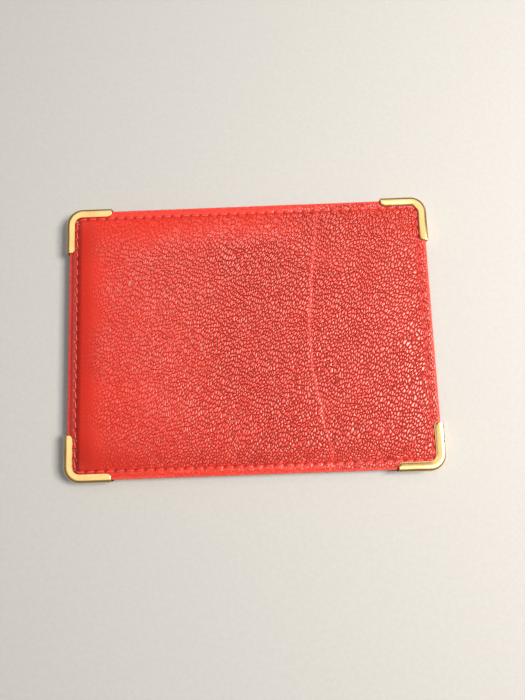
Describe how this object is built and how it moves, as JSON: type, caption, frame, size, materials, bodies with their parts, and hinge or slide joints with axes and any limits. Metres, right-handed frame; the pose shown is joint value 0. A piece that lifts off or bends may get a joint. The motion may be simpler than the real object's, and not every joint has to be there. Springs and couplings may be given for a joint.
{
  "type": "card holder",
  "caption": "Flat leather card holder: padded leather face with a sewn border, card slots on the reverse and metal-capped corners.",
  "frame": {"origin": "middle of the footprint, on the plane that the slotted reverse lies on", "axes": "+X along the long side to the right of the face, +Y up the face towards the side that the card slots open to, +Z out of the padded face"},
  "size_m": [0.1032, 0.0772, 0.0052],
  "materials": {
    "red_leather": "fine pebble grain, semi-gloss",
    "lining_cloth": "plain woven lining",
    "sewing_thread": "twisted polyester thread",
    "bonded_board": "raw bonded leather board",
    "padding_foam": "thin padding felt",
    "gilt_metal": "polished gilt"
  },
  "bodies": {
    "root": {"face_leather": "red_leather", "face_padding": "padding_foam", "stiffener_board": "bonded_board", "back_lining": "lining_cloth", "slot_mouth_strip": "red_leather", "slot_cloth": "lining_cloth", "reverse_panel": "red_leather", "face_seam_thread": "sewing_thread", "reverse_seam_thread": "sewing_thread", "metal_corner_top_left": "gilt_metal", "metal_corner_top_right": "gilt_metal", "metal_corner_bottom_left": "gilt_metal", "metal_corner_bottom_right": "gilt_metal"}
  },
  "joints": []
}
